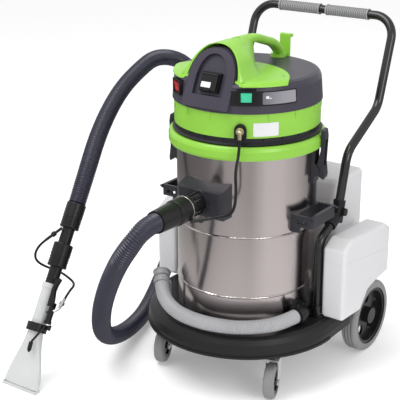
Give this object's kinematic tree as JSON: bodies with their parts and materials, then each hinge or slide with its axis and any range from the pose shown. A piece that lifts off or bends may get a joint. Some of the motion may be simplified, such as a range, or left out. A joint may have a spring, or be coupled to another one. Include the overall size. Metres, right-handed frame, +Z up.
{
  "type": "carpet cleaner machine",
  "caption": "Spray extraction carpet cleaner: steel drum on a wheeled dolly with lifting motor head, saddle tank, push handle, hose and spray wand.",
  "frame": {"origin": "on the floor, on the drum's vertical axis", "axes": "+Z up, -Y towards the front with the hose inlet, +X towards the machine's right side"},
  "size_m": [0.8902, 1.0916, 0.9825],
  "materials": {
    "black_plastic": "moulded matte black",
    "dolly_plastic": "moulded satin black",
    "drum_steel": "polished stainless steel",
    "plated_steel": "zinc plated",
    "black_tube": "gloss black enamel",
    "grey_tyre": "grey solid rubber on a black hub",
    "lime_plastic": "glossy lime green",
    "anthracite_plastic": "satin anthracite",
    "seal_rubber": "soft black",
    "tank_plastic": "translucent natural white",
    "grip_rubber": "light grey ribbed",
    "hose_plastic": "corrugated dark blue-grey",
    "drain_plastic": "corrugated light grey",
    "cord_plastic": "black hose",
    "brass": "turned brass",
    "chromed": "plated fittings",
    "clear_plastic": "frosted clear plastic",
    "motor_metal": "cast and pressed",
    "filter_felt": "pleated felt",
    "green_switch": "lit green",
    "red_switch": "dark red"
  },
  "bodies": {
    "chassis": {"dolly_base": "dolly_plastic", "rear_axle": "plated_steel", "drum": "drum_steel", "inlet_box": "black_plastic", "inlet_swivel": "black_plastic", "hose_cuff": "black_plastic", "latch_bases": "black_plastic", "tool_holders": "black_plastic", "drain_elbow": "black_plastic", "drain_hose": "drain_plastic", "drain_cap": "drain_plastic", "drain_clip": "black_plastic", "clean_tank": "tank_plastic", "frame_tubes": "black_tube", "handle_tube": "black_tube", "handle_joints": "black_plastic", "handle_grips": "grip_rubber", "wand_cuffs": "black_plastic", "wand_tube": "black_plastic", "clear_tube": "clear_plastic", "nozzle": "clear_plastic", "clamp_collar": "black_plastic", "trigger_valve": "chromed", "spray_jet": "chromed", "hose_fittings": "chromed", "suction_hose": "hose_plastic", "solution_hose": "cord_plastic", "wand_hose": "cord_plastic"},
    "caster_fork_l": {"caster_fork_left": "plated_steel"},
    "caster_fork_r": {"caster_fork_right": "plated_steel"},
    "caster_wheel_l": {"caster_wheel_left": "grey_tyre"},
    "caster_wheel_r": {"caster_wheel_right": "grey_tyre"},
    "rear_wheel_l": {"rear_wheel_left": "grey_tyre"},
    "rear_wheel_r": {"rear_wheel_right": "grey_tyre"},
    "head": {"head_ring": "lime_plastic", "head_seal": "seal_rubber", "skirt_band": "lime_plastic", "motor_cover": "anthracite_plastic", "top_cover": "lime_plastic", "cable_hook": "anthracite_plastic", "cover_screws": "plated_steel", "socket_box": "black_plastic", "switch_bezels": "black_plastic", "coupling_boss": "black_plastic", "quick_coupling": "brass", "power_gland": "black_plastic", "motor_plate": "black_plastic", "vacuum_motors": "motor_metal", "solution_pump": "motor_metal", "float_cage": "black_plastic", "dust_filter": "filter_felt"},
    "float": {"float_ball": "tank_plastic"},
    "latch_r": {"latch_right": "black_plastic"},
    "latch_l": {"latch_left": "black_plastic"},
    "pump_switch": {"green_rocker": "green_switch"},
    "motor_switch_front": {"red_rocker_front": "red_switch"},
    "motor_switch_rear": {"red_rocker_rear": "red_switch"},
    "flap": {"socket_flap": "anthracite_plastic"},
    "trigger": {"trigger_lever": "black_plastic"},
    "filler_cap": {"tank_cap": "black_plastic"}
  },
  "joints": [
    {"name": "caster_swivel_l", "type": "hinge", "parent": "chassis", "child": "caster_fork_l", "pos_m": [-0.186, -0.139, 0.12], "axis": [0, 0, 1], "continuous": true},
    {"name": "caster_roll_l", "type": "hinge", "parent": "caster_fork_l", "child": "caster_wheel_l", "pos_m": [-0.17623, -0.16737, 0.05], "axis": [0.9455, 0.3256, 0], "continuous": true},
    {"name": "rear_roll_l", "type": "hinge", "parent": "chassis", "child": "rear_wheel_l", "pos_m": [-0.265, 0.246, 0.108], "axis": [1, 0, 0], "continuous": true},
    {"name": "caster_swivel_r", "type": "hinge", "parent": "chassis", "child": "caster_fork_r", "pos_m": [0.186, -0.139, 0.12], "axis": [0, 0, 1], "continuous": true},
    {"name": "caster_roll_r", "type": "hinge", "parent": "caster_fork_r", "child": "caster_wheel_r", "pos_m": [0.19577, -0.16737, 0.05], "axis": [0.9455, 0.3256, 0], "continuous": true},
    {"name": "rear_roll_r", "type": "hinge", "parent": "chassis", "child": "rear_wheel_r", "pos_m": [0.265, 0.246, 0.108], "axis": [1, 0, 0], "continuous": true},
    {"name": "head_lift", "type": "slide", "parent": "chassis", "child": "head", "axis": [0, 0, 1], "range_m": [0, 0.3]},
    {"name": "float_rise", "type": "slide", "parent": "head", "child": "float", "axis": [0, 0, 1], "range_m": [0, 0.14]},
    {"name": "latch_open_r", "type": "hinge", "parent": "chassis", "child": "latch_r", "pos_m": [0.20639, 0.04387, 0.604], "axis": [-0.2079, 0.9781, 0], "range_deg": [0, 45]},
    {"name": "latch_open_l", "type": "hinge", "parent": "chassis", "child": "latch_l", "pos_m": [-0.20639, -0.04387, 0.604], "axis": [0.2079, -0.9781, 0], "range_deg": [0, 45]},
    {"name": "pump_rock", "type": "hinge", "parent": "head", "child": "pump_switch", "pos_m": [0.10704, -0.17131, 0.838], "axis": [0.848, 0.5299, 0], "range_deg": [-16, 0]},
    {"name": "front_motor_rock", "type": "hinge", "parent": "head", "child": "motor_switch_front", "pos_m": [-0.10009, -0.17565, 0.838], "axis": [0.848, -0.5299, 0], "range_deg": [-16, 0]},
    {"name": "rear_motor_rock", "type": "hinge", "parent": "head", "child": "motor_switch_rear", "pos_m": [-0.114, -0.16696, 0.838], "axis": [0.848, -0.5299, 0], "range_deg": [-16, 0]},
    {"name": "flap_open", "type": "hinge", "parent": "head", "child": "flap", "pos_m": [0, -0.17613, 0.88436], "axis": [-1, 0, 0], "range_deg": [0, 100], "stiffness_Nm_per_rad": 0.03, "springref_deg": -17.19},
    {"name": "trigger_pull", "type": "hinge", "parent": "chassis", "child": "trigger", "pos_m": [-0.36994, -0.42761, 0.22714], "axis": [0, -0.83, 0.5578], "range_deg": [0, 8], "stiffness_Nm_per_rad": 0.3, "springref_deg": -14.32},
    {"name": "cap_lift", "type": "slide", "parent": "chassis", "child": "filler_cap", "axis": [0, 0, 1], "range_m": [0, 0.04]}
  ]
}
